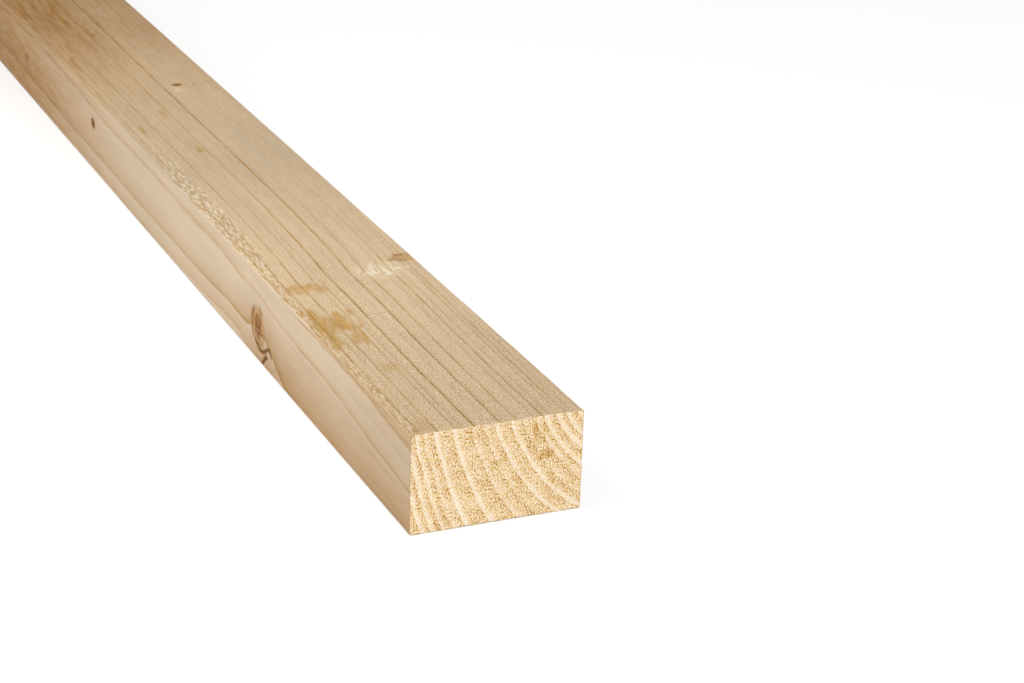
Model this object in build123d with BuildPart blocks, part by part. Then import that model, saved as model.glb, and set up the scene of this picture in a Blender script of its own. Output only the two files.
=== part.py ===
"""A length of sawn softwood timber, one solid piece.

The plank lies flat on its wide face. X is its width, Y its length and Z its thickness. The
origin is the middle of the face that it lies on, so its own centre line stands over it.
"""

import os

from build123d import *

# Size of the stock, in millimetres
length = 2400.0
width = 75.0
thickness = 44.0

# The long arrises are eased by the planer that dressed the narrow sides
arris_radius = 0.8

# The cross-cut saw leaves the rim of each end just broken, not razor sharp
end_break = 0.3

# The section as the mill delivers it, drawn on the near end and standing on Z = 0
section_centre = (0, thickness / 2)
near_end = Plane.XZ.offset(length / 2)

with BuildPart() as plank:
    with BuildSketch(near_end):
        with Locations(section_centre):
            RectangleRounded(width, thickness, arris_radius)
    extrude(amount=-length)

    # Both ends are square cross cuts: their rims are the edges of the two outermost Y faces
    end_faces = plank.faces().filter_by(Axis.Y)
    chamfer(end_faces.edges(), end_break)

plank.part.label = "plank"

os.makedirs("parts", exist_ok=True)
export_step(plank.part, "parts/plank.step")

box = plank.part.bounding_box()
print("plank", [round(side, 3) for side in box.size], "mm")
print("volume", round(plank.part.volume / 1e6, 4), "litres")
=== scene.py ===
# %% [markdown]
# # A length of sawn softwood timber
#
# The object is one piece of spruce, 75 mm wide, 44 mm thick and 2.4 m long. A saw cut its two
# wide faces and its ends, and a planer dressed its narrow sides. All that the eye sees on it comes
# from one solid thing, the trunk that it was cut from: lines on the faces and arcs on the ends are
# the same growth rings, met at different angles.
#
# So the plan is to describe the trunk first, as a few functions of a place in the wood, and only
# then the surface that the saw left. Every face then agrees with its neighbours at the corners.

import math

import bpy
import numpy as np
from mathutils import Matrix, Vector


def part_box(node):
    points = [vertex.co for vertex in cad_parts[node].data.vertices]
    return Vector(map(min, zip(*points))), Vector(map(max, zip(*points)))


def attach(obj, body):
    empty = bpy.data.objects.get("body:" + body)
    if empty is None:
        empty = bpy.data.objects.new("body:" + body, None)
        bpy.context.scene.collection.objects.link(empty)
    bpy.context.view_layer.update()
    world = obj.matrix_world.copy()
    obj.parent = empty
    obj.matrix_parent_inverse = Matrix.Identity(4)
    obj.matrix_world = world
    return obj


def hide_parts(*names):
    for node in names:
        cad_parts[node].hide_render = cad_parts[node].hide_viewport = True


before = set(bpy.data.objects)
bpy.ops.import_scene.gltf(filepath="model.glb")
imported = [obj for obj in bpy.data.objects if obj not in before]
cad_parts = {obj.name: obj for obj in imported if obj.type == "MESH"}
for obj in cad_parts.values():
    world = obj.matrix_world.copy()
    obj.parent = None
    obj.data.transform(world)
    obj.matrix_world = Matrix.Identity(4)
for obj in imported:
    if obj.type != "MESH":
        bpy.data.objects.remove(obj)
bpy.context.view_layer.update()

# %% [markdown]
# ## Where a place in the wood is
#
# The frame is in metres with its origin under the middle of the plank. The wood is easier to
# describe in millimetres from one corner of the photographed end: how far across from the left
# side, how far along from that end, and how deep below the top face. One function turns these
# three into the frame's metres, and the sizes are read from the frame and not typed in.

# %% Sizes, and the three directions of the wood
MM = 1000.0
low, high = (np.array(corner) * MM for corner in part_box("plank"))
width, length, thickness = high - low
print("width, length and thickness in mm:", width.round(2), length.round(2), thickness.round(2))


def in_frame(across, along, depth):
    """Places in the wood, in mm, as points of the row frame, in metres."""
    return np.stack([low[0] + across, low[1] + along, high[2] - depth], axis=1) / MM


def ease(x):
    """Nought below 0, one above 1, and three x squared less two x cubed between them."""
    x = np.clip(x, 0.0, 1.0)
    return x * x * (3.0 - 2.0 * x)


def bump_at(distance, reach):
    """A soft hill: e to the power of minus the square of distance over reach."""
    return np.exp(-((distance / reach) ** 2))


# %% [markdown]
# ## Random unevenness
#
# Sawn wood is uneven at every scale. Blender's noise nodes give that in a material, but the mesh
# needs it in numpy. The usual way is value noise: a random number at each point of a lattice,
# blended between the points. The random numbers come from a hash of the lattice point and a seed,
# so the same place always gives the same value and nothing changes from one run to the next.

# %% Value noise
HASH_STEPS = (73856093, 19349663, 83492791)
HASH_MIX = 1274126177
HASH_RANGE = 1 << 24


def lattice_value(ix, iy, iz, seed):
    """A number from -1 to 1 for a whole-numbered point, by mixing its bits with the seed's."""
    h = ix * HASH_STEPS[0] ^ iy * HASH_STEPS[1] ^ iz * HASH_STEPS[2] ^ (seed * HASH_MIX)
    h = (h ^ (h >> 13)) * HASH_MIX
    h = h ^ (h >> 16)
    return (h % HASH_RANGE) / (HASH_RANGE / 2) - 1.0


def noise(across, along, depth, cell, seed):
    """Lattice values of the eight corners of a place's cell, blended along each side by ease."""
    p = np.stack([across / cell[0], along / cell[1], depth / cell[2]], axis=1)
    base = np.floor(p).astype(np.int64)
    blend = ease(p - base)
    total = np.zeros(len(p))
    for corner in range(8):
        step = np.array([corner & 1, corner >> 1 & 1, corner >> 2 & 1])
        weight = np.prod(np.where(step, blend, 1.0 - blend), axis=1)
        total += weight * lattice_value(*(base + step).T, seed)
    return total


# %% [markdown]
# ## The growth rings
#
# A tree adds one ring a year round its pith. On this plank the pith lies outside the wood, to the
# right of it and above it, so the end shows arcs that lean over from the upper left, the wide top
# face shows straight lines and the left side, which the rings meet at a slant, shows wide waves.
#
# Ring widths differ from year to year. A list of the rings' radii, measured where they cross the
# top edge of the end, says more than a random spacing would, and gives the photographed lines.
# Beyond the photographed stretch the same rings go on: the trunk wanders a little along its length.
# It bulges beside a large branch too, so there are four short tables of how much nearer the bark
# the wood is than at the near end: at the top face, just below it, halfway down, and at the
# underside. The last three are added to the first.

# %% The trunk: pith, rings and wander
PITH_ACROSS = 100.0
PITH_DEPTH = -25.0
FLATTENED = (4.6, 4.1)  # mm that a ring is drawn in towards the underside, as depth and as its square
YOUNG_RADIUS = 70.0  # rings smaller than this are flatter still,
YOUNG_FLATTER = 0.04  # by this share for each mm that they are smaller

# Radius in mm at which each ring ends, from the pith out. Then how dark its late wood is at the
# near end, and how dark it is further along.
RINGS = [
    (10.0, 0.7, 0.5), (19.0, 0.8, 0.6), (27.0, 0.7, 0.5), (34.5, 0.5, 0.3), (37.2, 0.3, 0.1),
    (39.5, 0.4, 0.1), (42.0, 0.6, 0.2), (43.6, 0.5, 0.1), (47.6, 0.4, 0.15), (50.6, 0.8, 0.2),
    (53.6, 0.4, 0.1), (60.8, 0.75, 0.2), (67.5, 1.0, 1.0), (71.6, 0.15, 0.05), (77.8, 1.25, 0.6),
    (82.8, 0.4, 0.15), (85.2, 0.7, 0.3), (89.8, 0.1, 0.05), (92.5, 1.0, 0.7), (96.0, 0.2, 0.05),
    (99.7, 1.0, 0.5), (104.0, 0.65, 0.6), (105.9, 0.25, 0.0), (108.3, 0.65, 0.6), (114.2, 1.0, 0.68),
    (116.6, 0.7, 0.6), (124.0, 0.8, 0.8), (131.0, 0.8, 0.8),
]

# Pairs of a station along and the millimetres there
WANDER_TOP = [
    (0, 0.0), (60, 0.4), (150, 1.8), (190, 2.4), (260, 4.6), (330, 4.6), (390, 4.4), (470, 4.3),
    (520, 4.2), (640, 4.1), (800, 4.5), (1050, 5.0), (1300, 3.0), (1600, 5.5), (1900, 8.5), (2400, 4.0),
]
WANDER_UPPER = [
    (0, -0.35), (25, -0.1), (50, 0.0), (75, 0.0), (112, -0.55), (134, -0.9), (165, -1.1), (187, -0.5),
    (225, 0.4), (300, -0.6), (400, -0.3), (481, -0.3), (505, 0.4), (640, 0.55), (720, 0.3),
    (1000, 0.4), (1400, 0.8), (1800, -0.6), (2400, 0.4),
]
WANDER_MIDDLE = [
    (0, 0.2), (30, 0.7), (50, 0.9), (75, 1.5), (125, 1.2), (187, 0.8), (210, 0.6), (225, 0.45),
    (300, -1.3), (400, -0.4), (481, 0.3), (560, 0.8), (720, 1.2), (1000, 0.0), (1400, 1.2), (1800, -1.0),
    (2400, 0.8),
]
WANDER_BASE = [
    (0, 0.0), (100, -0.6), (150, -0.6), (163, 0.3), (172, 1.5), (187, 0.8), (202, 0.4), (225, 1.8),
    (250, 1.0), (275, 0.2), (400, 0.0), (481, 0.35), (560, 0.4), (640, 0.7), (720, 0.8), (1100, 1.5),
    (1700, -1.0), (2400, 0.5),
]

# Depth in mm where each of the last three tables comes in, and over how many mm it does
UPPER_IN = (0.0, 2.0)
MIDDLE_IN = (7.0, 8.0)
BASE_IN = (24.0, 10.0)
print("rings:", len(RINGS), "out to a radius in mm of", RINGS[-1][0])

# %% How far a place is from the pith


def wander(along, table, reach):
    """The table's values joined by straight lines, then averaged over reach mm to both sides."""
    stations, values = zip(*table)
    window = np.linspace(-reach, reach, 7)
    return np.mean([np.interp(along + shift, stations, values) for shift in window], axis=0)


def plain_radius(across, along, depth):
    """Distance from the pith, less the flattening, plus the trunk's wander and a slow unevenness."""
    down = depth / thickness
    round_part = np.hypot(across - PITH_ACROSS, depth - PITH_DEPTH)
    flat_part = FLATTENED[0] * down + FLATTENED[1] * down**2
    young = np.clip(YOUNG_RADIUS - round_part + flat_part, 0.0, 30.0)
    flat_part *= 1.0 + YOUNG_FLATTER * young
    upper, middle, base = (ease((depth - at) / over) for at, over in (UPPER_IN, MIDDLE_IN, BASE_IN))
    bulge = base * wander(along, WANDER_BASE, 8.0)
    bulge += middle * (1.0 - base) * wander(along, WANDER_MIDDLE, 15.0)
    bulge += upper * (1.0 - middle) * wander(along, WANDER_UPPER, 15.0)
    uneven = 0.15 * noise(across, along, depth, (30.0, 90.0, 18.0), 11)
    uneven += ease((along - 650.0) / 250.0) * 0.9 * noise(across, along, depth, (60.0, 170.0, 40.0), 12)
    return round_part - flat_part + wander(along, WANDER_TOP, 35.0) + bulge + uneven


# %% [markdown]
# ## The knots
#
# A knot is the foot of a branch, and a branch starts at the pith and runs outwards. So a knot is
# best made as a cone through the whole thickness, not as a spot painted on a face: where the cone
# leaves the wood there is an oval, and where it runs just under a face there is a long spike. The
# large one in the photo is one branch, seen on the left side and, where it starts, at the right
# edge of the top. Branches grow in whorls, a year's growth apart, and further knots that the photo
# doesn't show are placed the same way.

# %% Knots as cones
# Each has where its axis starts (across, along, depth), where it ends, its radius there and there,
# and how loose it is: 0 is grown together with the wood, 1 is dead, with a dark rim.
KNOTS = [
    ((97.0, 188.0, -4.0), (-6.0, 191.6, 28.2), 5.0, 9.2, 0.9),
    ((96.0, 470.0, 7.0), (-4.0, 487.6, 16.0), 1.2, 3.2, 1.0),
    ((98.0, 494.0, -1.0), (54.0, 493.0, 0.1), 1.3, 1.0, 0.0),
    ((51.5, 495.0, -9.0), (51.5, 495.0, 1.0), 2.5, 2.2, 0.9),
    ((30.0, 566.0, 13.0), (-4.0, 657.4, 20.4), 0.8, 1.6, 0.7),
    ((97.0, 806.0, -4.0), (22.0, 824.0, 52.0), 3.5, 7.0, 0.4),
    ((97.0, 812.0, -8.0), (-6.0, 826.0, 9.0), 2.0, 3.4, 0.8),
    ((97.0, 1118.0, -6.0), (64.0, 1138.0, 52.0), 4.0, 7.5, 0.2),
    ((97.0, 1122.0, -5.0), (-5.0, 1140.0, 31.0), 3.0, 6.2, 0.5),
    ((97.0, 1420.0, -6.0), (12.0, 1442.0, 50.0), 2.5, 5.0, 0.9),
    ((97.0, 1716.0, -5.0), (44.0, 1738.0, 52.0), 4.5, 8.5, 0.3),
    ((97.0, 1722.0, -4.0), (-5.0, 1738.0, 22.0), 2.0, 3.6, 0.9),
    ((97.0, 2040.0, -6.0), (80.0, 2062.0, 52.0), 5.0, 8.0, 0.2),
    ((97.0, 2046.0, -4.0), (-5.0, 2063.0, 35.0), 3.5, 7.2, 0.6),
    ((97.0, 2304.0, -6.0), (30.0, 2320.0, 52.0), 2.5, 4.5, 0.8),
]
FLOW_LENGTH = 0.42  # fibres swing round a knot in a lens this much blunter than a circle
print("knots:", len(KNOTS))

# %% What a knot does to the wood beside it


def near_knot(place, knot):
    """The cone's direction, each place's offset from its axis, the radius there and the share."""
    start, end, first, last = (np.array(value, float) for value in knot[:4])
    axis = end - start
    share = np.clip((place - start) @ axis / (axis @ axis), 0.0, 1.0)
    offset = place - start - share[:, None] * axis
    return axis / np.linalg.norm(axis), offset, first + (last - first) * share, share


def knot_fields(across, along, depth):
    """What the knots do to the wood round them.

    gap is the distance to the nearest cone's skin, negative inside it, and core the distance to
    its axis. loose grows along the branch, whose older part died, and rimmed is loose made more on
    the side away from the near end, where a dark rim shows. push is how far fibres are moved
    sideways, as water is round a pier: the sideways offset times the cone's radius squared over
    the stretched distance squared. lift is how much nearer the bark a ring reads beside a knot,
    most at the branch's older, outer end.
    """
    place = np.stack([across, along, depth], axis=1)
    gap = np.full(len(place), 1e3)
    core = np.full(len(place), 1e3)
    loose = np.zeros(len(place))
    rimmed = np.zeros(len(place))
    push = np.zeros_like(place)
    lift = np.zeros(len(place))
    for knot in KNOTS:
        axis, offset, radius, share = near_knot(place, knot)
        distance = np.linalg.norm(offset, axis=1)
        nearer = distance - radius < gap
        gap = np.where(nearer, distance - radius, gap)
        core = np.where(nearer, distance, core)
        loose_here = knot[4] * (0.4 + 0.6 * share)
        far_side = np.clip(offset[:, 1] / radius, -1.0, 1.0)
        loose = np.where(nearer, loose_here, loose)
        rimmed = np.where(nearer, loose_here * (0.65 + 0.35 * far_side), rimmed)
        side = np.cross(axis, (0.0, 1.0, 0.0))
        side /= np.linalg.norm(side)
        sideways = offset @ side
        stretched = sideways**2 + (FLOW_LENGTH * offset[:, 1]) ** 2
        amount = sideways * radius**2 / np.maximum(stretched, radius**2)
        push -= (amount * bump_at(distance, 7.0 * radius))[:, None] * side
        swell = bump_at(offset[:, 1], 2.2 * radius) * bump_at(sideways, 1.6 * radius)
        lift += 0.28 * radius * share**2 * swell
    return gap, core, loose, rimmed, push, lift


# %% [markdown]
# ## Everything about a place, in one call
#
# The ring count is a number that grows by one at the end of each year, so its fraction says how
# late in the year that wood grew. The mesh keeps these numbers at its points, and the materials
# read them. They change slowly from point to point, so a coarse mesh carries them well, while the
# fine grain comes from noise in the materials.

# %% The wood at a place
# On a cross cut the hard wood of each year, cut cleanly, is a pale band, painted in as a highlight.
# These are the radii at which the bands of the photographed end stop, and how pale each is.
BANDS = [
    (10.0, 0.7), (19.0, 0.8), (27.0, 0.7), (34.0, 0.7), (37.5, 0.7), (41.4, 0.9), (44.9, 0.8),
    (49.5, 0.9), (52.6, 0.3), (57.6, 0.25), (62.4, 1.0), (69.0, 0.8), (73.5, 0.1), (78.3, 0.5),
    (86.0, 1.0), (93.8, 1.0), (98.0, 0.1), (101.4, 0.9), (105.2, 0.8), (108.7, 0.9), (114.5, 0.8),
    (124.0, 0.8), (131.0, 0.8),
]
RING_PUSH = 0.6  # a knot moves the rings aside by this share of what it moves the fibres
FURTHER_FROM = 120.0  # from here on the rings' further darkness comes in,
FURTHER_OVER = 230.0  # over this many mm
print("pale bands:", len(BANDS))


def count_years(radius, rings, column):
    """Years from the pith, the value in that column for the year, and the year's width in mm."""
    table = np.array(rings)
    numbers = np.arange(len(table))
    year = np.interp(radius, table[:, 0], numbers)
    width_there = np.interp(year, numbers[:-1] + 0.5, np.diff(table[:, 0]))
    return year, np.interp(year, numbers, table[:, column]), width_there


def wood_at(across, along, depth):
    """The year counts, how dark or pale each year is, the knot distances and the fibre's origin."""
    gap, core, loose, rimmed, push, lift = knot_fields(across, along, depth)
    moved = np.stack([across, along, depth], axis=1) + push * RING_PUSH
    radius = plain_radius(moved[:, 0], moved[:, 1], moved[:, 2]) + lift
    year, near_dark, year_mm = count_years(radius, RINGS, 1)
    further = ease((along - FURTHER_FROM) / FURTHER_OVER)
    darkness = near_dark + (count_years(radius, RINGS, 2)[1] - near_dark) * further
    band, pale, band_mm = count_years(radius, BANDS, 1)
    fibre = np.stack([across, along, depth], axis=1) + push
    return dict(year=year, darkness=darkness, year_mm=year_mm, band=band, pale=pale, band_mm=band_mm,
                gap=gap, core=core, loose=loose, rimmed=rimmed, fibre=fibre)


# %% [markdown]
# ## A box of grid lines
#
# The plank could be a cube with a Subdivision modifier, but its cells would be equal, and wood
# wants them long on the faces, and short near the knots and the ends. So its skin is the outside
# of a lattice: lines across, lines down and lines along, each placed where detail is needed. Only
# the lattice points on the outside are kept, and each is kept once, so all seams are closed.

# %% Grid lines
ARRIS_RADIUS = 0.8
END_BREAK = 0.3
CELL_ACROSS = 1.25
CELL_DOWN = 1.1
INNER_LINE = 0.5  # from the end of a rounded corner to the first line inside it
PLAIN_LINES = 0.1  # lines along for each mm of plain wood, and more near the ends and the knots
PATCH_ALONG = 184.0  # the torn patch beside the large knot


def section_lines(size, cell):
    """Both ends, the ends of the rounded corners, a line close inside them, and even steps."""
    edge = [0.0, ARRIS_RADIUS]
    inner = np.linspace(edge[1] + INNER_LINE, size - edge[1] - INNER_LINE, round(size / cell))
    return np.concatenate([edge, inner, [size - value for value in reversed(edge)]])


def along_lines():
    """Lines so close that a running sum of wanted lines a millimetre goes up by one at each."""
    place = np.linspace(0.0, length, 24001)
    wanted = np.full(len(place), PLAIN_LINES)
    wanted += 0.33 * np.exp(-place / 35.0) + 0.10 * np.exp(-place / 300.0)
    wanted += 0.33 * np.exp(-(length - place) / 20.0)
    for start, end, _, last, _ in KNOTS:
        middle = (start[1] + end[1]) / 2
        wanted += 0.30 * bump_at(place - middle, last + 6.0)
    wanted += 0.35 * bump_at(place - PATCH_ALONG, 16.0)
    count = np.cumsum(wanted) * (place[1] - place[0])
    steps = np.linspace(count[0], count[-1], round(count[-1]))
    lines = np.interp(steps, count, place)
    return np.concatenate([[0.0, END_BREAK], lines[1:-1], [length - END_BREAK, length]])


lines_across = section_lines(width, CELL_ACROSS)
lines_down = section_lines(thickness, CELL_DOWN)
lines_along = along_lines()
print("grid lines across, down and along:", len(lines_across), len(lines_down), len(lines_along))

# %% Skin of the lattice
LAST = [len(lines_across) - 1, len(lines_down) - 1, len(lines_along) - 1]


def grid_faces(fixed, at_end):
    """Corner indices of every cell on one side of the lattice, wound to face outwards."""
    free = [axis for axis in range(3) if axis != fixed]
    a, b = np.meshgrid(np.arange(LAST[free[0]]), np.arange(LAST[free[1]]), indexing="ij")
    corners = np.zeros((a.size, 4, 3), np.int64)
    corners[:, :, fixed] = LAST[fixed] if at_end else 0
    for number, (step_a, step_b) in enumerate([(0, 0), (1, 0), (1, 1), (0, 1)]):
        corners[:, number, free[0]] = a.ravel() + step_a
        corners[:, number, free[1]] = b.ravel() + step_b
    # Without the middle axis the other two are in the opposite order, so the corners wind back
    outward = at_end if fixed != 1 else not at_end
    return corners if outward else corners[:, ::-1]


SIDES = {"left": (0, False), "right": (0, True), "top": (1, False), "bottom": (1, True),
         "near": (2, False), "far": (2, True)}
side_faces = {name: grid_faces(*where) for name, where in SIDES.items()}
all_faces = np.concatenate(list(side_faces.values()))
face_side = np.repeat(np.arange(len(SIDES)), [len(faces) for faces in side_faces.values()])
points_used, point_of_corner = np.unique(all_faces.reshape(-1, 3), axis=0, return_inverse=True)
point_of_corner = point_of_corner.reshape(-1, 4)
print("points and faces:", len(points_used), len(all_faces))

# %% [markdown]
# ## Places of the lattice points, and what the tools left on them
#
# The lattice gives a sharp box. Its long edges are then rounded to the planer's small radius, and
# the rim of each end is broken, as in the CAD model. On top of that comes the relief. A saw tears
# the soft early wood and leaves a fuzzy, slightly washboarded face. A planer leaves a nearly flat
# one. A cross cut tears the soft wood between the hard rings deepest, so the end stands in ridges.
# Each is a height along the outward direction. On the underside it only goes inwards, because the
# plank lies on that face.

# %% Places and outward directions
across = lines_across[points_used[:, 0]]
depth = lines_down[points_used[:, 1]]
along = lines_along[points_used[:, 2]]
at_low = points_used == 0
at_high = points_used == np.array(LAST)

# Outwards in the order across, depth, along: minus at the low side, plus at the high side
outward = at_high.astype(float) - at_low.astype(float)
on_section = (outward[:, 0] != 0) | (outward[:, 1] != 0)
on_arris = (outward[:, 0] != 0) & (outward[:, 1] != 0)
on_end = outward[:, 2] != 0

# A corner point of the section lies on the arc, and a rim point of an end steps in by the break
corner_inset = ARRIS_RADIUS * (1.0 - math.sqrt(0.5))
inset = np.where(on_arris, corner_inset, 0.0) + np.where(on_end & on_section, END_BREAK, 0.0)
smooth_place = np.stack([across, depth, along], axis=1)
smooth_place[:, :2] -= outward[:, :2] * inset[:, None]

# %% [markdown]
# ## What the saw left on the wide faces
#
# A saw's teeth leave a faint washboard across the wood, and pull up fibres between its ridges.
# Both are a fraction of a millimetre high. They could be a bump map, but seen at the low angle of
# the photo the outline of the arris shows them, so they are real heights.

# %% Relief of a sawn face
WASHBOARD_MM = 0.04  # height of the saw's ridges
TOOTH_STEP = 7.5  # mm from one ridge to the next


def fuzz_amount(across, along, depth):
    """How much a sawn face is roughened: most at the near end, and patchy further along."""
    patches = 0.5 + 0.5 * noise(across, along, depth, (25.0, 140.0, 25.0), 20)
    return 0.3 + 0.7 * bump_at(along, 190.0) + 0.25 * patches


def sawn_relief(across, along, depth):
    """Washboard of the saw, plus fuzz that is longer along the grain than across it."""
    washboard = WASHBOARD_MM * np.sin(2.0 * math.pi * (along + 0.15 * across) / TOOTH_STEP)
    fuzz = 0.12 * noise(across, along, depth, (1.7, 7.0, 1.7), 21) * fuzz_amount(across, along, depth)
    waves = 0.10 * noise(across, along, depth, (9.0, 60.0, 9.0), 22)
    return washboard + fuzz + waves


# %% [markdown]
# ## Torn grain and a crack
#
# Where the grain rises towards the saw, fibres tear out: in a strip along the left arris, and in
# feathered patches beside two knots. Below the large knot the wood has split as it dried. Each is a
# distance from a line or a place, made ragged by noise, and the relief and the finish both read it.

# %% Torn strip and torn patches
TORN_STRIP = (0.0, 430.0, 7.5)  # where the torn strip by the left arris starts, stops, and its width
# Torn patches beside two knots: place across and along, half sizes and strength
TORN_PATCHES = [(55.0, 176.5, 10.0, 8.5, 1.0), (48.5, 486.0, 2.6, 5.0, 0.8)]


def torn_strip(across, along, depth):
    """How much the grain is torn out along the left arris: a little at first, and most from 150 mm on."""
    start, stop, strip_width = TORN_STRIP
    strip = (0.65 + 0.35 * ease((along - 150.0) / 70.0)) * ease((stop - along) / 130.0)
    wide_here = strip_width * (0.7 + 0.9 * ease((along - 150.0) / 90.0))
    uneven = 1.5 * noise(across, along, depth, (3.0, 9.0, 3.0), 23)
    return ease((4.0 - depth) / 3.0) * strip * ease((wide_here + uneven - across) / 3.0)


def torn_patch(across, along, depth):
    """The same for the feathered patches beside the knots: softer hills, ragged by noise."""
    uneven = 0.35 * noise(across, along, depth, (4.0, 3.0, 4.0), 29)
    total = np.zeros(len(across))
    for middle_across, middle_along, half_across, half_along, strength in TORN_PATCHES:
        reach = np.hypot((across - middle_across) / half_across, (along - middle_along) / half_along)
        total = np.maximum(total, strength * ease((1.45 + uneven - reach) / 0.9))
    return ease((4.0 - depth) / 3.0) * total


# %% Crack
# From the large knot to the lower edge, as (along, depth) on the left side, and half its width
CRACKS = [
    ([(196.0, 34.2), (190.6, 37.6), (185.4, 37.2), (180.5, 34.6), (175.8, 32.2), (173.4, 35.0)], 0.6),
    ([(187.0, 44.0), (182.6, 39.6), (179.4, 37.6)], 0.8),
]


def crack_distance(across, along, depth):
    """Distance in mm from the nearest stretch of the cracks, less their half width, on the left side."""
    nearest = np.full(len(across), 50.0)
    for path, half_width in CRACKS:
        for (l0, d0), (l1, d1) in zip(path, path[1:]):
            step_l, step_d = l1 - l0, d1 - d0
            share = ((along - l0) * step_l + (depth - d0) * step_d) / (step_l**2 + step_d**2)
            share = np.clip(share, 0.0, 1.0)
            reach = np.hypot(along - l0 - share * step_l, depth - d0 - share * step_d)
            nearest = np.minimum(nearest, reach - half_width)
    return nearest + 4.0 * across


# %% Relief of a cross cut end


def late_wood(band):
    """One near the end of a year, where the hard wood is, and nought in early wood."""
    part = band - np.floor(band)
    return ease((part - 0.65) / 0.2) * (1.0 - ease((part - 0.97) / 0.03))


def end_relief(across, along, depth, band):
    """Ridges where late wood is, hollows torn between them, and a few deeper pits."""
    torn = 0.5 + 0.5 * noise(across, along, depth, (1.4, 4.0, 2.2), 24)
    pits = ease((noise(across, along, depth, (2.3, 5.0, 2.3), 25) - 0.45) / 0.4)
    return -(0.30 * torn + 0.35 * pits) * (1.0 - 0.8 * late_wood(band))


# %% Heights on the wide, the narrow and the end faces
a, l, d = smooth_place[:, 0], smooth_place[:, 2], smooth_place[:, 1]
wood = wood_at(a, l, d)
on_wide = outward[:, 1] != 0
on_narrow = outward[:, 0] != 0
strip = torn_strip(a, l, d)
patch = torn_patch(a, l, d)
torn = strip * ease((noise(a, l, d, (1.3, 5.0, 1.3), 33) + 0.3) / 0.5)
torn = np.maximum(torn, 0.3 * patch * ease((noise(a, l, d, (2.2, 6.0, 2.2), 34) + 0.2) / 0.5))
split = ease((0.9 - crack_distance(a, l, d)) / 0.9)
wide_height = np.where(on_wide, sawn_relief(a, l, d) - 0.42 * torn, 0.0)
wide_height = np.where(outward[:, 1] > 0, np.minimum(wide_height - 0.1, 0.0), wide_height)
narrow_height = 0.03 * noise(a, l, d, (12.0, 70.0, 12.0), 26) - 0.3 * torn - 0.35 * split
narrow_height = np.where(on_narrow, narrow_height, 0.0)

# Chipped corners, and a rim that is ragged where the cut broke out
chips = ease((noise(a, l, d, (5.0, 6.0, 5.0), 27) - 0.1) / 0.5)
chips *= bump_at(np.minimum(l, length - l), 12.0)
end_height = np.where(on_end, end_relief(a, l, d, wood["band"]), 0.0)
rag = np.where(on_end & on_section, 0.45 * noise(a, l, d, (1.2, 4.0, 1.2), 28), 0.0)
nick = np.where(on_arris, 0.05 + 0.5 * chips, 0.0)

place = smooth_place.copy()
place[:, 0] += outward[:, 0] * (narrow_height - nick)
place[:, 1] += outward[:, 1] * (wide_height - nick)
place[:, 2] += outward[:, 2] * (end_height + rag)
relief = place - smooth_place
print("relief in mm, from", relief.min().round(2), "to", relief.max().round(2))

# %% [markdown]
# ## The mesh
#
# `foreach_set` hands whole arrays to Blender. The faces know which side of the plank they are on,
# so each gets the finish of that side: sawn, planed or cross cut.

# %% Mesh and finishes
# The number of the material that each side gets: 0 is sawn, 1 is planed and 2 is cross cut
SIDE_FINISH = {"left": 1, "right": 1, "top": 0, "bottom": 0, "near": 2, "far": 2}

mesh = bpy.data.meshes.new("sawn_plank")
plank = bpy.data.objects.new("sawn_plank", mesh)
bpy.context.collection.objects.link(plank)
points = in_frame(place[:, 0], place[:, 2], place[:, 1])
mesh.vertices.add(len(points))
mesh.vertices.foreach_set("co", points.ravel())
mesh.loops.add(point_of_corner.size)
mesh.loops.foreach_set("vertex_index", point_of_corner.ravel())
mesh.polygons.add(len(point_of_corner))
mesh.polygons.foreach_set("loop_start", np.arange(len(point_of_corner)) * 4)
mesh.polygons.foreach_set("material_index", np.array(list(SIDE_FINISH.values()))[face_side])
mesh.polygons.foreach_set("use_smooth", np.ones(len(point_of_corner), bool))
mesh.update(calc_edges=True)
mesh.validate()
print("triangles:", 2 * len(point_of_corner))

# %% [markdown]
# ## Marks, age and painted light
#
# Ochre marks lie on the top and on the end, where resin or bark touched the wood, and past about
# 400 mm the wood has browned. Over the near part of the plank the faces are also made lighter and
# darker along their length, as painted light and shade, by one table for the wide faces and another
# for the narrow ones. Painting them on a texture would tie them to one map, so each is a formula
# of the place. Its value is kept at the mesh's points, beside the numbers of the rings.

# %% Ochre marks
STAINS = [  # across, along, half sizes and strength of the ochre marks on the top face
    (14.0, 165.5, 9.0, 5.5, 0.65), (13.0, 120.0, 9.0, 10.0, 0.75), (15.5, 119.0, 4.0, 8.0, 0.9),
    (16.2, 100.0, 3.5, 5.5, 0.72), (5.0, 118.0, 2.8, 24.0, 0.85), (17.0, 67.0, 5.0, 5.0, 0.45),
    (7.5, 6.0, 4.5, 7.0, 0.4), (28.0, 376.0, 1.7, 5.5, 0.78), (9.4, 417.0, 1.2, 9.0, 0.72),
    (25.5, 601.0, 1.6, 16.0, 0.7), (25.0, 665.0, 1.8, 26.0, 0.8), (6.5, 552.0, 1.8, 14.0, 0.7),
    (12.0, 582.0, 1.6, 12.0, 0.7), (6.0, 679.0, 3.0, 20.0, 0.8), (16.0, 640.0, 6.0, 50.0, 0.4),
    (34.0, 560.0, 1.6, 14.0, 0.6), (33.0, 625.0, 1.8, 16.0, 0.6), (20.0, 545.0, 1.4, 12.0, 0.6),
    (28.0, 440.0, 1.6, 12.0, 0.5), (44.0, 640.0, 1.6, 40.0, 0.5), (10.0, 635.0, 1.8, 18.0, 0.6),
    (40.0, 790.0, 5.0, 30.0, 0.5), (18.0, 1240.0, 5.0, 26.0, 0.5), (52.0, 1580.0, 4.0, 18.0, 0.45),
    (12.0, 2010.0, 4.0, 24.0, 0.5),
]
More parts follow.
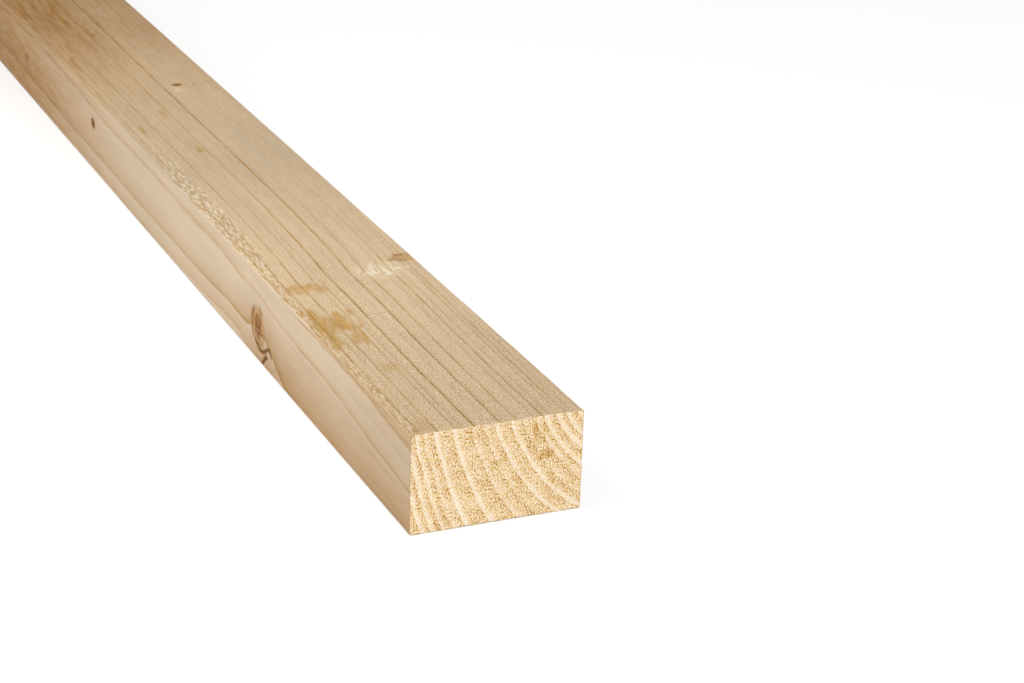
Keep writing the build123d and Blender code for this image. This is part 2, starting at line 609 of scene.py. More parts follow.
END_STAINS = [  # across, depth, half sizes and strength of the ochre marks on the photographed end
    (54.0, 9.0, 1.0, 5.0, 0.8), (57.6, 8.0, 0.9, 3.0, 0.9), (59.0, 17.0, 2.6, 1.6, 1.0),
    (50.8, 12.5, 0.8, 2.6, 0.6), (61.5, 28.0, 1.2, 2.4, 0.5), (36.5, 18.5, 1.8, 1.4, 0.5),
]


def stain_amount(across, along, depth):
    """The strongest of the soft-edged marks, ragged by noise, each close under its own face."""
    ragged = 0.5 * noise(across, along, depth, (2.2, 4.0, 8.0), 31)
    total = np.zeros(len(across))
    for middle_across, middle_along, half_across, half_along, strength in STAINS:
        reach = np.maximum(abs(across - middle_across) / half_across, abs(along - middle_along) / half_along)
        total = np.maximum(total, strength * ease((1.35 - reach + ragged) / 0.7))
    total *= ease((3.0 - depth) / 3.0) * ease(along - END_BREAK)
    total *= 1.0 - 0.22 * ease((along - 450.0) / 90.0)  # the marks are fainter on the brown wood
    on_the_end = ease(END_BREAK - along + 0.5)
    for middle_across, middle_down, half_across, half_down, strength in END_STAINS:
        reach = np.maximum(abs(across - middle_across) / half_across, abs(depth - middle_down) / half_down)
        total = np.maximum(total, strength * ease((1.6 - reach) / 0.8) * on_the_end)
    return total


# %% How brown the wood is, and the painted light along it
TAN_RADIUS = 108.3  # near the end the wood past this ring is tanner, low on the sides

# Pairs of a station along and the painted light and shade there, on the wide and the narrow faces
WIDE_PAINTED_LIGHT = [(0, 0.97), (90, 0.975), (130, 1.04), (190, 1.035), (250, 0.995), (300, 0.93), (350, 0.87),
             (400, 0.915), (460, 0.975), (540, 1.035), (640, 0.955), (760, 0.98), (2400, 1.0)]
NARROW_PAINTED_LIGHT = [(0, 0.98), (60, 0.98), (120, 0.99), (250, 0.99), (400, 0.98), (540, 1.05), (640, 1.09),
               (760, 1.05), (1000, 1.0), (2400, 1.0)]
PAINTED_LIGHT_REACH = 20.0


def aged_amount(across, along, depth, year):
    """How much the wood has browned: most far from the cut end, and a little low on its sides."""
    outer = ease((46.0 - across - 0.6 * depth) / 16.0)
    patches = 0.88 + 0.12 * noise(across, along, depth, (20.0, 160.0, 20.0), 32)
    back = 1.0 - 0.55 * ease((along - 760.0) / 900.0)
    further = ease((along - 360.0) / 360.0) * (0.72 + 0.4 * outer) * patches * back
    upper = ease((depth - 3.0) / 3.0) * ease((40.0 - depth) / 20.0)
    cut_end = ease((85.0 - along) / 55.0) * (0.06 + 0.14 * upper)
    tan_year = np.interp(TAN_RADIUS, [ring[0] for ring in RINGS], np.arange(len(RINGS)))
    low_down = 0.35 * ease((250.0 - along) / 110.0) * ease((year - tan_year) / 0.12)
    low_down *= (0.7 + 0.7 * ease((depth - 20.0) / 18.0)) * ease((depth - 8.0) / 3.0)
    return np.maximum(further, low_down) + cut_end


def painted_light_amount(across, along, depth):
    """The painted light and shade along the face that the place is near, as a factor on its colour."""
    narrow_share = ease((depth - 1.0) / 2.0) * ease((thickness - depth - 1.0) / 2.0)
    wide_painted_light = wander(along, WIDE_PAINTED_LIGHT, PAINTED_LIGHT_REACH)
    return wide_painted_light + (wander(along, NARROW_PAINTED_LIGHT, PAINTED_LIGHT_REACH) - wide_painted_light) * narrow_share


# %% The wood's numbers, kept at the points


def store(name, values, kind="FLOAT"):
    """Keeps one number, or one vector, for each point of the mesh."""
    field = mesh.attributes.new(name, kind, "POINT")
    field.data.foreach_set("value" if kind == "FLOAT" else "vector", values.astype(np.float32).ravel())


for name, values in wood.items():
    store(name, values, "FLOAT_VECTOR" if name == "fibre" else "FLOAT")
store("stain", stain_amount(a, l, d))
store("torn", strip)
store("feather", patch)
store("rough", fuzz_amount(a, l, d))
store("aged", aged_amount(a, l, d, wood["year"]))
# Painted light and shade along the faces, kept as a factor on the colour
store("painted_light_factor", painted_light_amount(a, l, d))
store("crack", crack_distance(a, l, d))
print("years from", wood["year"].min().round(1), "to", wood["year"].max().round(1))

# %% [markdown]
# ## A map for baking
#
# A bake needs a map of the skin. Blender's own would lay the strips 2.4 m long side by side and
# leave the ends a few pixels, so the mesh brings one: each long side is cut into two halves that
# lie above each other, and the ends get twice their share.

# %% Map for baking
MAP_MARGIN = 0.004  # left free round each island, as a share of the map
END_HEIGHT = 0.13  # the share of the map's height that the ends take
half_line = int(np.argmin(abs(lines_along - length / 2)))
corner_points = points_used[point_of_corner]
face_lines = corner_points[:, :, 2]
in_far_half = face_lines.min(axis=1) >= half_line
map_u = np.zeros(point_of_corner.shape)
map_v = np.zeros(point_of_corner.shape)

# Each strip's height on the map follows its width, the two halves one above the other
strips = [("left", 1, thickness), ("top", 0, width), ("right", 1, thickness), ("bottom", 0, width)]
room = 1.0 - END_HEIGHT - MAP_MARGIN * (2 * len(strips) + 2)
start = MAP_MARGIN
for name, axis, size in strips:
    mine = face_side == list(SIDES).index(name)
    lines = (lines_across, lines_down)[axis]
    height = room * size / (2 * sum(strip[2] for strip in strips))
    for far_half in (False, True):
        chosen = mine & (in_far_half == far_half)
        first, last = (lines_along[half_line], length) if far_half else (0.0, lines_along[half_line])
        share = (lines_along[face_lines[chosen]] - first) / (last - first)
        map_u[chosen] = MAP_MARGIN + share * (1.0 - 2 * MAP_MARGIN)
        map_v[chosen] = start + lines[corner_points[chosen][:, :, axis]] / size * height
        start += height + MAP_MARGIN
for number, name in enumerate(("near", "far")):
    mine = face_side == list(SIDES).index(name)
    share = lines_across[corner_points[mine][:, :, 0]] / width
    map_u[mine] = MAP_MARGIN + 0.5 * number + share * (0.5 - 2 * MAP_MARGIN)
    map_v[mine] = start + lines_down[corner_points[mine][:, :, 1]] / thickness * (END_HEIGHT - MAP_MARGIN)
bake_map = mesh.uv_layers.new(name="OFBake")
bake_map.uv.foreach_set("vector", np.stack([map_u, map_v], axis=2).astype(np.float32).ravel())
print("map reaches", map_v.max().round(3))

# %% [markdown]
# ## Materials
#
# All three finishes are the same spruce, uncoated. Bare wood scatters light and hardly shines, so
# it is a plain Principled shader with its usual IOR of 1.5 and a high roughness, lower only where
# the planer's knives closed the surface. Its open pores trap most of the mirrored light, so the
# specular level is turned down, or dark lines and knots would look grey. What differs is how the
# growth rings show. On a sawn or planed face the late wood is a thin brown line. On the end its
# dense cells are cut cleanly and look paler than the torn early wood between them: painted
# highlight on the late wood and painted shade in the torn early wood.

# %% A helper for nodes, and one for colours


def linear(code):
    """An sRGB hex colour as the linear values that Blender works in."""
    parts = [int(code[i:i + 2], 16) / 255.0 for i in (1, 3, 5)]
    return (*[p / 12.92 if p <= 0.04045 else ((p + 0.055) / 1.055) ** 2.4 for p in parts], 1.0)


def add(tree, kind, *in_order, named=None, **settings):
    """Adds a node, gives it its settings, and fills or links its inputs.

    Values in order go to the inputs that are in use, from the first on, and named ones go by name.
    A value that is a node is linked from the first of its outputs that is in use.
    """
    made = tree.nodes.new("ShaderNode" + kind)
    for name, value in settings.items():
        setattr(made, name, value)
    given = list(zip([socket for socket in made.inputs if socket.enabled], in_order))
    given += [(made.inputs[name], value) for name, value in (named or {}).items()]
    for socket, value in given:
        if isinstance(value, bpy.types.Node):
            value = next(output for output in value.outputs if output.enabled)
        if isinstance(value, bpy.types.NodeSocket):
            tree.links.new(value, socket)
        else:
            socket.default_value = value
    return made


# %% An empty material, and the shader of bare wood
WOOD_IOR = 1.5


def empty_material(name):
    """A material with no nodes yet."""
    material = bpy.data.materials.new(name)
    material.use_nodes = True
    material.node_tree.nodes.clear()
    return material


def wood_shader(tree, colour, bump, roughness, mirrored):
    """The Principled shader of bare wood, linked to the material's output."""
    named = {"Base Color": colour, "Normal": bump, "Roughness": roughness, "IOR": WOOD_IOR,
             "Specular IOR Level": mirrored}
    add(tree, "OutputMaterial", add(tree, "BsdfPrincipled", named=named))


# %% [markdown]
# ## Patterns made of a few nodes
#
# Noise on places in millimetres gets its lumps' size in millimetres too, so each pattern's scale is
# a real one. Two more helpers change how light a colour is: all of it, or each channel by its own
# share, as a speckle does that is yellower where it is darker.

# %% Noise, tone and speckle


def fine_noise(tree, place, size_mm, detail):
    """Noise whose lumps are size_mm, on places in millimetres."""
    scaled = add(tree, "VectorMath", place, size_mm, operation="DIVIDE")
    return add(tree, "TexNoise", scaled, 1.0, detail)


def tone(tree, colour, factor):
    """A colour made lighter or darker by a factor."""
    grey = add(tree, "CombineXYZ", factor, factor, factor)
    return add(tree, "VectorMath", colour, grey, operation="MULTIPLY")


def speckled(tree, colour, amount, shares):
    """A colour with each channel made lighter by the amount times that channel's share."""
    scaled = add(tree, "VectorMath", shares, amount, operation="SCALE")
    factor = add(tree, "VectorMath", scaled, (1.0, 1.0, 1.0), operation="ADD")
    return add(tree, "VectorMath", colour, factor, operation="MULTIPLY")


# %% [markdown]
# ## What the three finishes share
#
# The year's fraction, a fine wobble that keeps the lines from looking drawn, the knots, and the
# noise that stands for bundles of fibres. The fibres' noise is squeezed across the grain and long
# along it, in millimetres, and it reads the place that each fibre came from, so it flows round
# the knots as real grain does.

# %% Shared pattern
FIBRE_MM = (0.5, 14.0, 0.5)  # a bundle of fibres, as fine as the render can show
FUZZ_MM = (0.55, 0.8, 0.55)  # torn ends of fibres on a sawn face, drawn as coarse as a pixel
MOTTLE_MM = (9.0, 70.0, 9.0)  # slow changes of tone
WOBBLE_MM = (2.5, 30.0, 2.5)  # how often a year's line leaves its smooth course
WOBBLE_YEARS = 0.10  # and how far, in years
KEPT = ("year", "darkness", "year_mm", "band", "pale", "band_mm", "gap", "core", "loose",
        "rimmed", "stain", "torn", "feather", "rough", "aged", "painted_light_factor", "crack")


def wood_pattern(tree):
    """The wood's numbers and its shared noises, by name.

    A year's part is the fraction of the year. Times the year's width, it is how many mm of the year
    come before the place, and the rest is how many mm are left until the year ends.
    """
    wood = {name: add(tree, "Attribute", attribute_name=name).outputs["Fac"] for name in KEPT}
    wood["fibre"] = add(tree, "Attribute", attribute_name="fibre").outputs["Vector"]
    own = add(tree, "TexCoord").outputs["Object"]
    wood["place"] = add(tree, "VectorMath", own, MM, operation="SCALE")
    wobble = fine_noise(tree, wood["fibre"], WOBBLE_MM, 3.0)
    for count in ("year", "band"):
        moved = add(tree, "Math", wobble, WOBBLE_YEARS, wood[count], operation="MULTIPLY_ADD")
        moved = add(tree, "Math", moved, WOBBLE_YEARS / 2, operation="SUBTRACT")
        part = add(tree, "Math", moved, operation="FRACT")
        after = add(tree, "Math", part, wood[count + "_mm"], operation="MULTIPLY")
        wood[count + "_part"] = part
        wood[count + "_after"] = after
        wood[count + "_before"] = add(tree, "Math", wood[count + "_mm"], after, operation="SUBTRACT")
    wood["streak"] = fine_noise(tree, wood["fibre"], FIBRE_MM, 4.0)
    wood["fuzz"] = fine_noise(tree, wood["place"], FUZZ_MM, 2.0)
    wood["mottle"] = fine_noise(tree, wood["fibre"], MOTTLE_MM, 3.0)
    return wood


# %% [markdown]
# ## The line at a year's end
#
# Late wood darkens over the last part of a year and stops at once when the next one starts. So the
# line fades in over a width in millimetres, and out over a much smaller one. Noise along the fibres
# breaks it up.

# %% Year line
LINE_BREAK_MM = (1.5, 18.0, 1.5)
DARKEST_MM = 0.12  # before the year's end, where the line is at full strength


def ring_line(tree, wood, inner_mm, outer_mm):
    """The thin line at a year's end, which fades over inner_mm before it and outer_mm after it.

    A darker year has a wider line: inner_mm times its darkness, and three tenths of inner_mm more.
    """
    wide = add(tree, "Math", wood["darkness"], 0.3, operation="ADD")
    wide = add(tree, "Math", wide, inner_mm, operation="MULTIPLY")
    before = add(tree, "MapRange", wood["year_before"], wide, DARKEST_MM)
    after = add(tree, "MapRange", wood["year_after"], outer_mm, 0.0)
    line = add(tree, "Math", before, after, operation="MAXIMUM")
    broken = fine_noise(tree, wood["fibre"], LINE_BREAK_MM, 3.0)
    broken = add(tree, "MapRange", broken, 0.38, 0.6, 0.25, 1.2)
    line = add(tree, "Math", line, broken, operation="MULTIPLY")
    return add(tree, "Math", line, wood["darkness"], operation="MULTIPLY", use_clamp=True)


# %% [markdown]
# ## Browned wood, and painted light
#
# Air and light turn the wood brown in streaks. Laying one brown over it would hide the grain, so
# the wood's own colour is darkened, and more in blue than in green, and more in green than in red.
# Last, the face's painted light and shade along the plank is multiplied in.

# %% Browned wood, and painted light
AGED_STREAK_MM = (2.6, 26.0, 2.6)  # long brown streaks in wood that has browned
AGED_LOSS = (-0.31, -0.49, -0.69)  # what red, green and blue lose


def browned_with_painted_light(tree, wood, colour):
    """Darkens and yellows a colour where the wood has aged, and gives it the face's painted light and shade.
    """
    streaks = fine_noise(tree, wood["fibre"], AGED_STREAK_MM, 3.0)
    streaks = add(tree, "MapRange", streaks, 0.36, 0.62, 1.18, 0.82)
    tinted = speckled(tree, colour, streaks, AGED_LOSS)
    aged = add(tree, "Mix", wood["aged"], colour, tinted, data_type="RGBA")
    # Then the face's painted light and shade along the plank
    return tone(tree, aged, wood["painted_light_factor"])


# %% [markdown]
# ## Knots in the finish
#
# A knot is end grain of a branch: orange tan, and finely ringed about its own axis. A dead one has a
# dark heart, where resin gathered, and a dark rim of bark. All of it is drawn from two distances
# that the mesh keeps, to the branch's skin and to its axis, so it fits the knot on every face.

# %% Wood of a branch, and its heart
KNOT_RING_MM = 0.8  # growth rings inside a branch
HEART_STREAK_MM = (0.9, 1.4, 2.0)


def branch_wood(tree, wood, rough, gap, colour):
    """Orange tan inside the knot's skin, with rings by the sine of the distance from its axis."""
    inside = add(tree, "MapRange", gap, 0.5, -1.2)
    strength = add(tree, "MapRange", wood["loose"], 0.0, 1.0, 0.38, 0.72)
    inside = add(tree, "Math", inside, strength, operation="MULTIPLY")
    turns = add(tree, "Math", wood["core"], 2.0 * math.pi / KNOT_RING_MM, operation="MULTIPLY")
    rings = add(tree, "Math", turns, operation="SINE")
    rings = add(tree, "Math", rings, 0.06, 1.0, operation="MULTIPLY_ADD")
    lighter = add(tree, "MapRange", rough, 0.35, 0.65)
    tan = add(tree, "Mix", lighter, linear("#BC8838"), linear("#DDB67C"), data_type="RGBA")
    return add(tree, "Mix", inside, colour, tone(tree, tan, rings), data_type="RGBA")


def knot_heart(tree, wood, rough, gap, colour):
    """Brown about the axis, ragged and streaked, and strong only in a dead knot: loose cubed."""
    spread = add(tree, "Math", rough, -16.0, wood["core"], operation="MULTIPLY_ADD")
    heart = add(tree, "MapRange", spread, 0.0, -3.5)
    within = add(tree, "MapRange", gap, 0.3, -0.3)
    heart = add(tree, "Math", heart, within, operation="MULTIPLY")
    dead = add(tree, "Math", wood["loose"], 3.0, operation="POWER")
    dead = add(tree, "Math", dead, 1.3, operation="MULTIPLY")
    heart = add(tree, "Math", heart, dead, operation="MULTIPLY")
    streaks = fine_noise(tree, wood["place"], HEART_STREAK_MM, 3.0)
    streaks = add(tree, "MapRange", streaks, 0.32, 0.55, 0.5, 1.1)
    heart = add(tree, "Math", heart, streaks, operation="MULTIPLY", use_clamp=True)
    return add(tree, "Mix", heart, colour, linear("#7A4600"), data_type="RGBA")


# %% Rim of a knot, and the whole knot
KNOT_ROUGH_MM = (2.4, 3.4, 2.4)  # unevenness of a knot's outline
RIM_BREAK_MM = (7.0, 7.0, 7.0)


def knot_rim(tree, wood, gap, colour):
    """Dark bark along the knot's skin, wider on a looser knot, and broken by noise."""
    rim_mm = add(tree, "MapRange", wood["loose"], 0.4, 0.8, 1.2, 1.9)
    off_skin = add(tree, "Math", gap, operation="ABSOLUTE")
    rim = add(tree, "MapRange", off_skin, rim_mm, 0.3)
    broken = fine_noise(tree, wood["place"], RIM_BREAK_MM, 2.0)
    broken = add(tree, "MapRange", broken, 0.42, 0.54, 0.15, 1.0)
    rim = add(tree, "Math", rim, broken, operation="MULTIPLY")
    bark = add(tree, "Math", wood["rimmed"], 0.6, operation="POWER")
    rim = add(tree, "Math", rim, bark, operation="MULTIPLY")
    rim = add(tree, "Math", rim, 0.95, operation="MULTIPLY")
    return add(tree, "Mix", rim, colour, linear("#865206"), data_type="RGBA")


def with_knots(tree, wood, colour):
    """Lays the branch wood over a face's colour, then its heart and its rim."""
    rough = fine_noise(tree, wood["place"], KNOT_ROUGH_MM, 5.0)
    gap = add(tree, "Math", wood["gap"], 1.5, operation="SUBTRACT")
    gap = add(tree, "Math", rough, 3.0, gap, operation="MULTIPLY_ADD")
    colour = branch_wood(tree, wood, rough, gap, colour)
    colour = knot_heart(tree, wood, rough, gap, colour)
    return knot_rim(tree, wood, gap, colour)


# %% [markdown]
# ## The sawn faces
#
# Rough sawn spruce: a dull beige under a fuzz of torn fibre ends, crossed lengthways by the thin
# brown lines of late wood. The fuzz is finer than the mesh, so it is bump and a speckle of painted
# light and shade, lighter and darker specks where its fibres would catch light and cast shade.
# Ochre marks and torn flecks lie where they do on the real one.

# %% Ochre in the marks of a sawn face
BLOT_MM = (2.4, 4.5, 2.4)


def ochre_marks(tree, wood, colour):
    """Ochre soaked into the marks, more or less of it from fibre to fibre."""
    fibres = add(tree, "Math", wood["fuzz"], wood["streak"], operation="ADD")
    fibres = add(tree, "Math", fibres, 1.0, operation="SUBTRACT")
    soaked = add(tree, "Math", fibres, 2.0, wood["stain"], operation="MULTIPLY_ADD")
    blots = fine_noise(tree, wood["place"], BLOT_MM, 4.0)
    blots = add(tree, "Math", blots, 0.5, operation="SUBTRACT")
    soaked = add(tree, "Math", soaked, blots, operation="ADD")
    soaked = add(tree, "MapRange", soaked, 0.05, 1.0)
    there = add(tree, "MapRange", wood["stain"], 0.0, 0.55)
    soaked = add(tree, "Math", soaked, there, operation="MULTIPLY")
    soaked = add(tree, "Math", soaked, 0.85, operation="MULTIPLY")
    lighter = add(tree, "MapRange", wood["streak"], 0.35, 0.65)
    ochre = add(tree, "Mix", lighter, linear("#9F7020"), linear("#C99F50"), data_type="RGBA")
    return add(tree, "Mix", soaked, colour, ochre, data_type="RGBA")


# %% Year lines and fuzz of a sawn face
ROUGHER = (0.5, 0.95)  # from the roughness of the far part to that of the near end


def sawn_lines(tree, wood, colour):
    """The year lines, which are narrower, darker and more olive where the face is rougher."""
    width_mm = add(tree, "MapRange", wood["rough"], *ROUGHER, 1.05, 0.62)
    share = add(tree, "MapRange", wood["rough"], *ROUGHER, 0.74, 0.78)
    line = ring_line(tree, wood, width_mm, 0.3)
    line = add(tree, "Math", line, share, operation="MULTIPLY")
    rougher = add(tree, "MapRange", wood["rough"], *ROUGHER)
    brown = add(tree, "Mix", rougher, linear("#B3833C"), linear("#8E6820"), data_type="RGBA")
    return add(tree, "Mix", line, colour, brown, data_type="RGBA")


def fuzzy(tree, wood, colour):
    """Slow mottling, faint streaks along the fibres, and a speckle of painted light and shade from the fuzz,
    stronger on rough wood.
    """
    colour = tone(tree, colour, add(tree, "MapRange", wood["mottle"], 0.3, 0.7, 0.95, 1.05))
    streak = add(tree, "MapRange", wood["streak"], 0.25, 0.75, -0.5, 0.5)
    colour = speckled(tree, colour, streak, (0.18, 0.2, 0.26))
    # Painted light and shade of the fuzz: lighter and darker specks, yellower where darker
    fuzz_painted_light = add(tree, "MapRange", wood["fuzz"], 0.36, 0.64)
    fuzz_painted_light = add(tree, "Math", fuzz_painted_light, 0.55, operation="SUBTRACT")
    fuzz_painted_light = add(tree, "Math", fuzz_painted_light, wood["rough"], operation="MULTIPLY")
    return speckled(tree, colour, fuzz_painted_light, (0.5, 0.56, 0.82))


# %% Flecks of torn grain
FLECK_MM = (1.0, 6.0, 1.0)
FEATHER_MM = (2.4, 5.5, 2.4)


def torn_flecks(tree, wood, colour):
    """Orange hollows and white raised fibres on the torn strip, and the white feathered patches."""
    fleck = fine_noise(tree, wood["place"], FLECK_MM, 3.0)
    hollow = add(tree, "MapRange", fleck, 0.5, 0.42)
    hollow = add(tree, "Math", hollow, wood["torn"], operation="MULTIPLY")
    share = add(tree, "MapRange", wood["rough"], *ROUGHER, 0.22, 0.75)
    hollow = add(tree, "Math", hollow, share, operation="MULTIPLY")
    colour = add(tree, "Mix", hollow, colour, linear("#AE7824"), data_type="RGBA")

    raised = add(tree, "MapRange", fleck, 0.51, 0.61)
    raised = add(tree, "Math", raised, wood["torn"], operation="MULTIPLY")
    share = add(tree, "MapRange", wood["rough"], 0.45, 0.68, 1.0, 0.4)
    raised = add(tree, "Math", raised, share, operation="MULTIPLY")
    feather = fine_noise(tree, wood["place"], FEATHER_MM, 1.0)
    feather = add(tree, "MapRange", feather, 0.48, 0.6, 0.12, 1.0)
    feather = add(tree, "Math", feather, wood["feather"], operation="MULTIPLY", use_clamp=True)
    feather = add(tree, "Math", feather, 0.7, operation="MULTIPLY")
    white = add(tree, "Math", raised, feather, operation="MAXIMUM")
    return add(tree, "Mix", white, colour, linear("#EFE3CB"), data_type="RGBA")


# %% Sawn spruce


def sawn_spruce():
    """Beige early wood that tans towards each year's end, and on it all that the saw and time left."""
    material = empty_material("rough_sawn_spruce")
    tree = material.node_tree
    wood = wood_pattern(tree)
    late = add(tree, "MapRange", wood["year_before"], 2.6, 0.0)
    late = add(tree, "Math", late, 1.5, operation="POWER")
    late = add(tree, "Math", late, wood["darkness"], operation="MULTIPLY")
    late = add(tree, "Math", late, 0.42, operation="MULTIPLY", use_clamp=True)
    colour = add(tree, "Mix", late, linear("#D4BB9A"), linear("#B4884C"), data_type="RGBA")
    for layer in (ochre_marks, sawn_lines, fuzzy, torn_flecks, browned_with_painted_light, with_knots):
        colour = layer(tree, wood, colour)
    height = add(tree, "Math", wood["fuzz"], 0.9, wood["streak"], operation="MULTIPLY_ADD")
    bump = add(tree, "Bump", 0.6, 0.25 / MM, named={"Height": height})
    wood_shader(tree, colour, bump, roughness=0.85, mirrored=0.05)
    return material


# %% [markdown]
# ## The planed sides
#
# The planer's knives close the surface, so it is smoother, paler and a little pink, and it shines
# faintly at a low angle. The rings meet this side at a slant, so each year is a wide band that
# darkens slowly and ends in a fine line.

# %% Planed spruce


def planed_spruce():
    """Pale peach wood that tans towards the end of each year, with fine lines and faint fibres."""
    material = empty_material("planed_spruce")
    tree = material.node_tree
    wood = wood_pattern(tree)
    slow = add(tree, "MapRange", wood["year_part"], 0.1, 0.98)
    slow = add(tree, "Math", slow, 1.3, operation="POWER")
    dark = add(tree, "Math", wood["darkness"], 2.0, operation="POWER")
    slow = add(tree, "Math", slow, dark, operation="MULTIPLY", use_clamp=True)
    colour = add(tree, "Mix", slow, linear("#E0C9AB"), linear("#C49A64"), data_type="RGBA")
    line = ring_line(tree, wood, 0.6, 0.2)
    line = add(tree, "Math", line, 0.45, operation="MULTIPLY")
    colour = add(tree, "Mix", line, colour, linear("#AE7C14"), data_type="RGBA")
    colour = tone(tree, colour, add(tree, "MapRange", wood["mottle"], 0.3, 0.7, 0.96, 1.04))
    colour = tone(tree, colour, add(tree, "MapRange", wood["streak"], 0.25, 0.75, 0.97, 1.03))
    colour = with_knots(tree, wood, browned_with_painted_light(tree, wood, colour))

    # The crack is a groove in the mesh, too shallow to hold the shade of the split, so the dark brown drawn
    # in and round it, with a ragged edge, is painted shade
    ragged = add(tree, "Math", wood["fuzz"], 1.6, wood["crack"], operation="MULTIPLY_ADD")
    split = add(tree, "MapRange", ragged, 1.5, 0.8)
    colour = add(tree, "Mix", split, colour, linear("#7C4A04"), data_type="RGBA")
    height = add(tree, "Math", split, -6.0, wood["streak"], operation="MULTIPLY_ADD")
    bump = add(tree, "Bump", 0.3, 0.06 / MM, named={"Height": height})
    wood_shader(tree, colour, bump, roughness=0.55, mirrored=0.08)
    return material


# %% [markdown]
# ## The cross cut ends
#
# The saw cuts the dense late wood cleanly, so it catches more light, and tears the soft wood
# between, which catches shadow and looks deeper in colour, so on an end the rings are pale arcs on
# ochre: painted highlight on the late wood and painted shade in the torn early wood, over the end's
# own ochre. The torn fibre ends give it a strong grit of pale and dark specks, painted highlights on
# the fibre ends and painted shade in the pits between them. One level from dark to pale is worked
# out first, and a colour ramp then gives it its colours.

# %% How pale a cross cut end is
BAND_MM = 1.6  # how wide the pale late wood is
BAND_EDGE_MM = 0.5  # how far each way its edge fades
CLOUD_MM = (7.0, 30.0, 7.0)  # larger parts that are darker or paler


def end_level(tree, wood, grit):
    """How pale the end is: its bands and grit of painted light and shade, and clouds, less painted shade
    where the early wood starts, and the marks.
    """
    # Pale bands: painted highlight on the cleanly cut late wood
    ragged = add(tree, "Math", grit, 0.5, operation="SUBTRACT")
    ragged = add(tree, "Math", ragged, 1.8, wood["band_before"], operation="MULTIPLY_ADD")
    pale = add(tree, "MapRange", ragged, BAND_MM + BAND_EDGE_MM, BAND_MM - BAND_EDGE_MM)
    pale = add(tree, "Math", pale, wood["pale"], operation="MULTIPLY", use_clamp=True)
    level = add(tree, "Math", pale, 0.3, operation="MULTIPLY")
    # Grit: painted highlights on torn fibre ends and painted shade in the pits
    painted_grit_light = add(tree, "MapRange", grit, 0.34, 0.66)
    level = add(tree, "Math", painted_grit_light, 0.85, level, operation="MULTIPLY_ADD")
    # Painted shade in the torn early wood just after each band
    painted_deep_shade = add(tree, "MapRange", wood["band_after"], 2.6, 0.0, 0.0, 0.5)
    level = add(tree, "Math", painted_deep_shade, -0.22, level, operation="MULTIPLY_ADD")
    clouds = fine_noise(tree, wood["place"], CLOUD_MM, 2.0)
    clouds = add(tree, "MapRange", clouds, 0.3, 0.7, -0.5, 0.5)
    level = add(tree, "Math", clouds, 0.22, level, operation="MULTIPLY_ADD")
    return add(tree, "Math", wood["stain"], -0.3, level, operation="MULTIPLY_ADD")


# %% End grain
GRIT_MM = (0.62, 3.0, 0.85)  # torn ends of fibres on the cross cut, as coarse as a pixel
HUE_MM = (1.1, 3.0, 1.1)  # pinker and yellower specks among them
# Colours of the level, from ochre in painted shade to the palest painted highlight
END_TONES = [(0.0, "#AC7F38"), (0.16, "#DCB06C"), (0.38, "#EFCF9E"), (0.62, "#FEE7C3"), (1.0, "#FFF6E4")]


def end_grain():
    """Ochre torn early wood and pits, darkened by painted shade, and pale late wood and bright torn fibres,
    lightened by painted highlight.
    """
    material = empty_material("cross_cut_spruce")
    tree = material.node_tree
    wood = wood_pattern(tree)
    grit = fine_noise(tree, wood["place"], GRIT_MM, 2.0)
    tones = add(tree, "ValToRGB", end_level(tree, wood, grit))
    elements = tones.color_ramp.elements
    while len(elements) < len(END_TONES):
        elements.new(0.5)
    for element, (position, colour) in zip(elements, END_TONES):
        element.position = position
        element.color = linear(colour)
    hue = fine_noise(tree, wood["place"], HUE_MM, 1.0)
    hue = add(tree, "MapRange", hue, 0.35, 0.65, -0.5, 0.5)
    colour = speckled(tree, tones, hue, (0.0, -0.1, 0.18))
    bump = add(tree, "Bump", 0.6, 0.3 / MM, named={"Height": grit})
    wood_shader(tree, with_knots(tree, wood, colour), bump, roughness=0.9, mirrored=0.05)
    return material


# %% Finishes on the plank
for make in (sawn_spruce, planed_spruce, end_grain):
    mesh.materials.append(make())
    print("material:", mesh.materials[-1].name, "with", len(mesh.materials[-1].node_tree.nodes), "nodes")

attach(plank, "root")
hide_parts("plank")

# %% [markdown]
# ## Camera
#
# The photograph was taken with a long lens from the near left corner, looking down along the wood
# and rolled by two degrees. The place and direction come from the end's corners and long edges.

# %% Camera
CAMERA_PLACE = (-0.3621, -2.0098, 0.4389)
CAMERA_LOOKS = (0.3821, 0.8441, -0.3762)
CAMERA_ROLL = math.radians(1.94)
LENS_MM = 86.04
SENSOR_MM = 36.0

camera = bpy.data.objects.new("camera", bpy.data.cameras.new("camera"))
camera.data.lens = LENS_MM
camera.data.sensor_width = SENSOR_MM
turn = Vector(CAMERA_LOOKS).to_track_quat("-Z", "Y").to_matrix() @ Matrix.Rotation(CAMERA_ROLL, 3, "Z")
camera.matrix_world = Matrix.Translation(CAMERA_PLACE) @ turn.to_4x4()
bpy.context.collection.objects.link(camera)
bpy.context.scene.camera = camera
print("camera at", CAMERA_PLACE, "with a lens of", LENS_MM, "mm")

# %% [markdown]
# ## Floor
#
# The background has to be white and still keep the plank's shadow. So the floor is matt, and adds a
# little glow of its own where it is looked at, which brings the lit floor to white and leaves the
# shadow grey.

# %% Floor
FLOOR_SIZE = 30.0  # metres from the middle to each side
FLOOR_GLOW = 1.72
GLOW_SHARE = 0.35


def looked_at(tree):
    """One for a ray that shows the place to the eye, straight, mirrored or through glass, else nought."""
    path = add(tree, "LightPath").outputs
    seen = add(tree, "Math", path["Is Camera Ray"], path["Is Glossy Ray"], operation="MAXIMUM")
    return add(tree, "Math", seen, path["Is Transmission Ray"], operation="MAXIMUM")


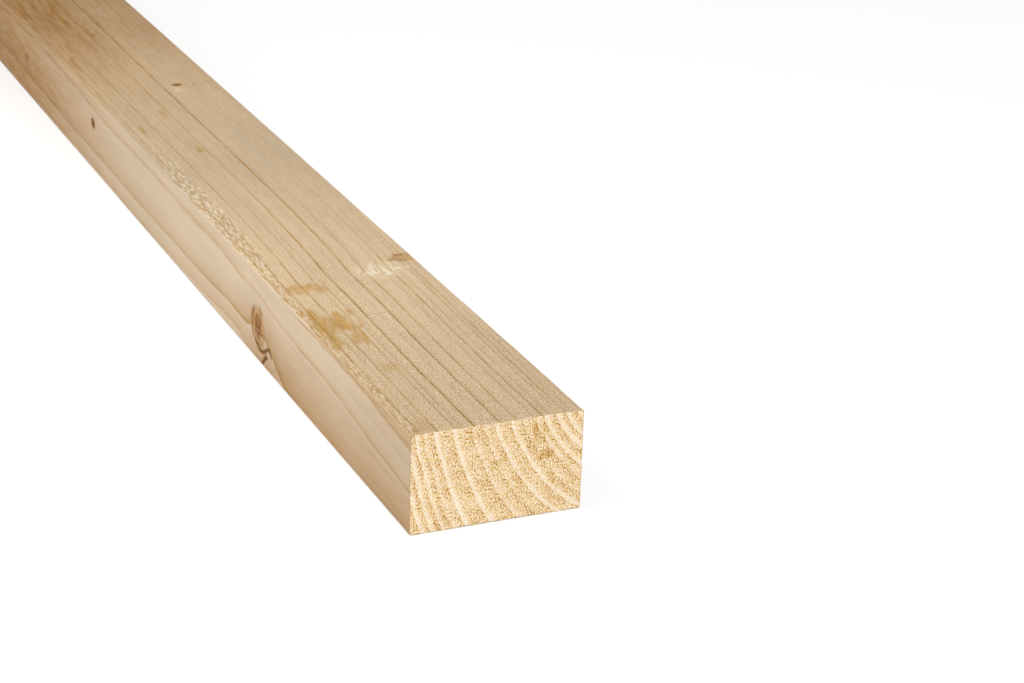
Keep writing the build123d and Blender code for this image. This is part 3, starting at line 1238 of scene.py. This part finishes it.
floor_mesh = bpy.data.meshes.new("floor")
corners = [(x * FLOOR_SIZE, y * FLOOR_SIZE, 0.0) for x, y in ((-1, -1), (1, -1), (1, 1), (-1, 1))]
floor_mesh.from_pydata(corners, [], [(0, 1, 2, 3)])
floor = bpy.data.objects.new("floor", floor_mesh)
bpy.context.collection.objects.link(floor)

floor_material = empty_material("white_floor")
tree = floor_material.node_tree
matt = add(tree, "BsdfDiffuse", linear("#E7E7E7"))
strength = add(tree, "Math", looked_at(tree), FLOOR_GLOW, operation="MULTIPLY")
glow = add(tree, "Emission", linear("#FFFFFF"), strength)
add(tree, "OutputMaterial", add(tree, "MixShader", GLOW_SHARE, matt, glow))
floor_mesh.materials.append(floor_material)
print("floor sides in metres:", 2 * FLOOR_SIZE)

# %% [markdown]
# ## Light
#
# Soft light comes from all round, with a broad lamp before the end of the plank and a small one
# above its near end. The world does what the floor does: it is white to look at, past the floor's
# edge, and gives less light than that.

# %% World and lamps
WORLD_LIGHT = 0.573
world = bpy.data.worlds.new("studio")
bpy.context.scene.world = world
world.use_nodes = True
tree = world.node_tree
tree.nodes.clear()
strength = add(tree, "Math", looked_at(tree), WORLD_LIGHT, operation="MAXIMUM")
add(tree, "OutputWorld", add(tree, "Background", linear("#FFFFFF"), strength))


def soft_lamp(name, place, aim, size, watts):
    """A square area lamp at a place, turned to face a point."""
    lamp = bpy.data.objects.new(name, bpy.data.lights.new(name, "AREA"))
    lamp.data.shape = "SQUARE"
    lamp.data.size = size
    lamp.data.energy = watts
    lamp.location = place
    lamp.rotation_euler = (Vector(aim) - Vector(place)).to_track_quat("-Z", "Y").to_euler()
    bpy.context.collection.objects.link(lamp)
    print("lamp:", name, size, "m wide,", watts, "W")


soft_lamp("front", place=(0.3, -3.2, 0.95), aim=(0.0, -1.1, 0.02), size=1.4, watts=27.0)
soft_lamp("near", place=(-0.40, -0.97, 0.40), aim=(0.0, -0.97, 0.02), size=0.6, watts=1.9)
bpy.context.scene.view_settings.view_transform = "Standard"
